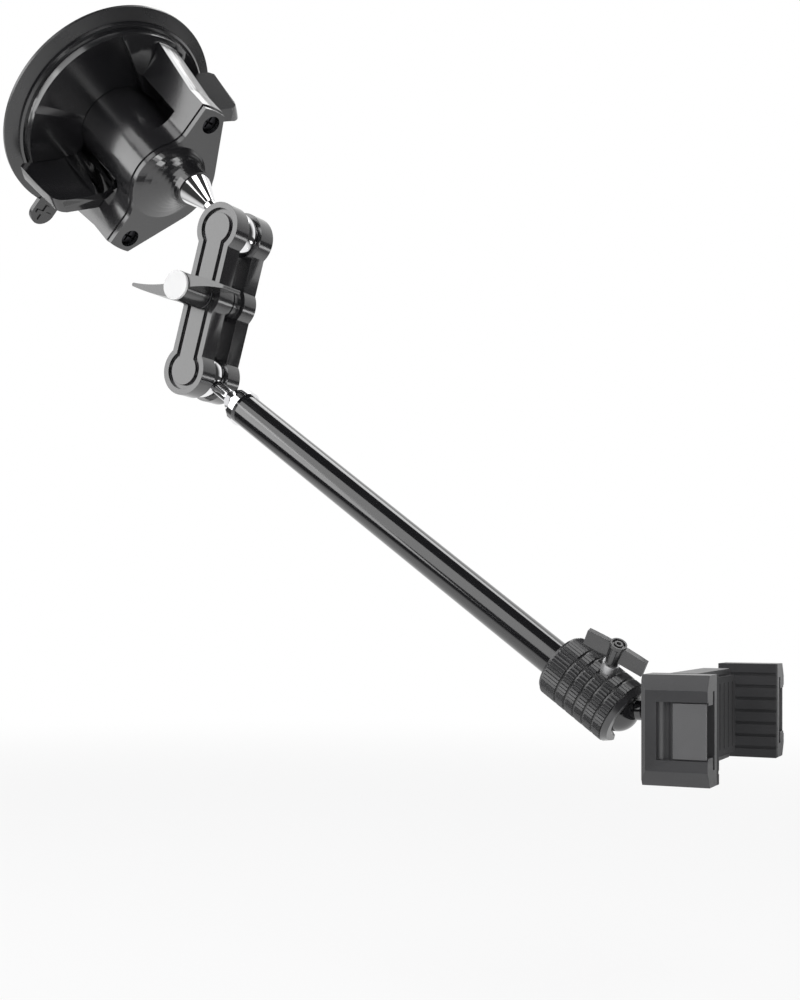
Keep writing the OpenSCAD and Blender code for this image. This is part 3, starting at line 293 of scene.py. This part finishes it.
def round_edges(node, width):
    """Replaces a CAD node by a copy with rounded edges."""
    mesh = bpy.data.meshes.new(node + "_moulded")
    work = bmesh.new()
    work.from_mesh(frame["nodes"][node].data)
    bmesh.ops.remove_doubles(work, verts=work.verts, dist=merge_distance)
    bmesh.ops.dissolve_limit(work, angle_limit=flat_angle, verts=work.verts, edges=work.edges)
    work.to_mesh(mesh)
    work.free()
    for face in mesh.polygons:
        face.use_smooth = True
    mesh.set_sharp_from_angle(angle=crease_angle)
    mesh.materials.append(finishes[slot_of[node]])
    piece = bpy.data.objects.new(node + "_moulded", mesh)
    bpy.context.scene.collection.objects.link(piece)
    bevel = piece.modifiers.new("edge", "BEVEL")
    bevel.width = width*mm
    bevel.segments = 2
    bevel.limit_method = "ANGLE"
    bevel.angle_limit = edge_angle
    bevel.harden_normals = True
    bevel.use_clamp_overlap = True
    graph = bpy.context.evaluated_depsgraph_get()
    rounded = bpy.data.meshes.new_from_object(piece.evaluated_get(graph))
    piece.modifiers.clear()
    piece.data = rounded
    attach(piece, body_of_node[node])
    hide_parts(node)


# Camera at the photograph's viewing angle. It stays level, with its lens shifted up.
# The image's height, its shift and the focal length are in pixels, the sensor in mm
image_height = 1000
focal_length = 1452
shift_up = 108
sensor = 36
camera_spot = Vector((-0.4790, -0.3633, -0.2016))
view_heading = math.radians(25.8273)
ahead = Vector((math.cos(view_heading), math.sin(view_heading), 0))
side = Vector((ahead.y, -ahead.x, 0))
up = Vector((0, 0, 1))
camera = bpy.data.objects.new("camera", bpy.data.cameras.new("camera"))
bpy.context.scene.collection.objects.link(camera)
camera.matrix_world = Matrix.Translation(camera_spot) @ Matrix((side, up, -ahead)).transposed().to_4x4()
camera.data.sensor_fit = "VERTICAL"
camera.data.sensor_height = sensor
camera.data.lens = focal_length/image_height*sensor
camera.data.shift_y = shift_up/image_height
camera.data.clip_start = 0.01
camera.data.dof.use_dof = False
bpy.context.scene.camera = camera
bpy.context.scene.view_settings.view_transform = "Standard"

# Floor
floor_height = -0.34
floor_reach = 6.0
corners = [(floor_reach*x, floor_reach*y, floor_height) for x, y in ((-1, -1), (1, -1), (1, 1), (-1, 1))]
floor_mesh = bpy.data.meshes.new("floor")
floor_mesh.from_pydata(corners, [], [(0, 1, 2, 3)])
floor = bpy.data.objects.new("floor", floor_mesh)
bpy.context.scene.collection.objects.link(floor)

# The floor is white paper, white to the horizon, that keeps the shadow near the holder.
# Shiny pieces mirror it where it lies near the holder or ahead of the camera, and a dark room elsewhere.
# Each pair of numbers starts and ends a fade, in metres from the origin, or for ahead_cone as a cosine
white = (1.0, 1.0, 1.0)
dark_room = (0.04, 0.04, 0.04)
near_fade = (0.45, 0.8)
ahead_start = (0.2, 0.5)
ahead_cone = (0.6, 0.75)
shadow_fade = (0.5, 1.3)
paper = Finish("white_paper")
paper.set(Base_Color=(0.86, 0.86, 0.86), Roughness=0.8)
spot = paper.node("ShaderNodeTexCoord", {}, {}, "Object")
from_middle = paper.node("ShaderNodeVectorMath", {"operation": "LENGTH"}, {0: spot}, "Value")
bearing = paper.node("ShaderNodeVectorMath", {"operation": "NORMALIZE"}, {0: spot}, "Vector")
near = 1 - paper.ramp(from_middle, *near_fade)
beyond = paper.ramp(paper.along(bearing, ahead), *ahead_cone)*paper.ramp(from_middle, *ahead_start)
lit = paper.largest(paper.seen(), near, beyond)
glow = paper.node("ShaderNodeEmission", {}, {"Color": paper.tone(lit, dark_room, white)})
glow_share = paper.seen()*(0.8 + 0.2*paper.ramp(from_middle, *shadow_fade))
shaded = Socket(paper, paper.shader.outputs["BSDF"])
shown = paper.mixed(paper.largest(glow_share, paper.mirrored()), shaded, glow)
paper.feed(paper.tree.nodes["Material Output"].inputs["Surface"], shown)
floor_mesh.materials.append(paper.material)

# The world is a white backdrop to the camera. Shiny pieces mirror that backdrop ahead of the camera
# and a dark room elsewhere, and a grey fill lights all that isn't shiny. The edge is a fade in cosines
fill_grey = (0.37, 0.37, 0.378)
backdrop_edge = (0.1, 0.5)
world = bpy.data.worlds.new("studio")
bpy.context.scene.world = world
room = Tree(world)
room.tree.nodes.clear()
way = room.node("ShaderNodeTexCoord", {}, {}, "Generated")
backdrop = room.largest(room.seen(), room.ramp(room.along(way, ahead), *backdrop_edge))
walls, cloth, fill = [room.node("ShaderNodeBackground", {}, {"Color": (*colour, 1)})
                      for colour in (dark_room, white, fill_grey)]
sky = room.mixed(room.largest(room.seen(), room.mirrored()), fill, room.mixed(backdrop, walls, cloth))
room.feed(room.tree.nodes.new("ShaderNodeOutputWorld").inputs["Surface"], sky)

# Soft lamps, with their sizes in metres and their power in watts
holder_middle = (-0.02, -0.12, -0.11)
tube_middle = (-0.025, -0.14, -0.173)
ball_plate = (-0.02, -0.05, -0.06)
above_clamp = (-0.05, -0.2, -0.15)
above_strip = (0.57, -0.62, 0.5)
lamps = {
    "key": {"spot": (-0.75, -0.9, 0.75), "aim": holder_middle, "size": (0.7, 0.7), "power": 5.5},
    "left_card": {"spot": (-0.72, 0.82, 0.24), "aim": ball_plate, "size": (0.75, 0.85), "power": 6.3},
    "rim_strip": {"spot": (0.57, -0.62, -0.335), "aim": above_strip, "size": (0.35, 0.2), "power": 0.8},
    "tube_card": {"spot": (-0.83, 0.13, 0.44), "aim": tube_middle, "size": (0.7, 0.9), "power": 3.5},
    "low_card": {"spot": (-0.45, -0.6, -0.32), "aim": above_clamp, "size": (0.5, 0.25), "power": 2.0},
    "back_rim": {"spot": (0.525, -0.26, 0.77), "aim": tube_middle, "size": (0.9, 0.26), "power": 2.0},
}


def softbox(name, spot, aim, size, power):
    lamp = bpy.data.lights.new(name, "AREA")
    lamp.shape = "RECTANGLE"
    lamp.size, lamp.size_y = size
    lamp.energy = power
    stand = bpy.data.objects.new(name, lamp)
    stand.location = spot
    stand.rotation_euler = (Vector(aim) - Vector(spot)).to_track_quat("-Z", "Y").to_euler()
    bpy.context.scene.collection.objects.link(stand)


for name, settings in lamps.items():
    softbox(name, **settings)
for node, width in edge_widths.items():
    round_edges(node, width)
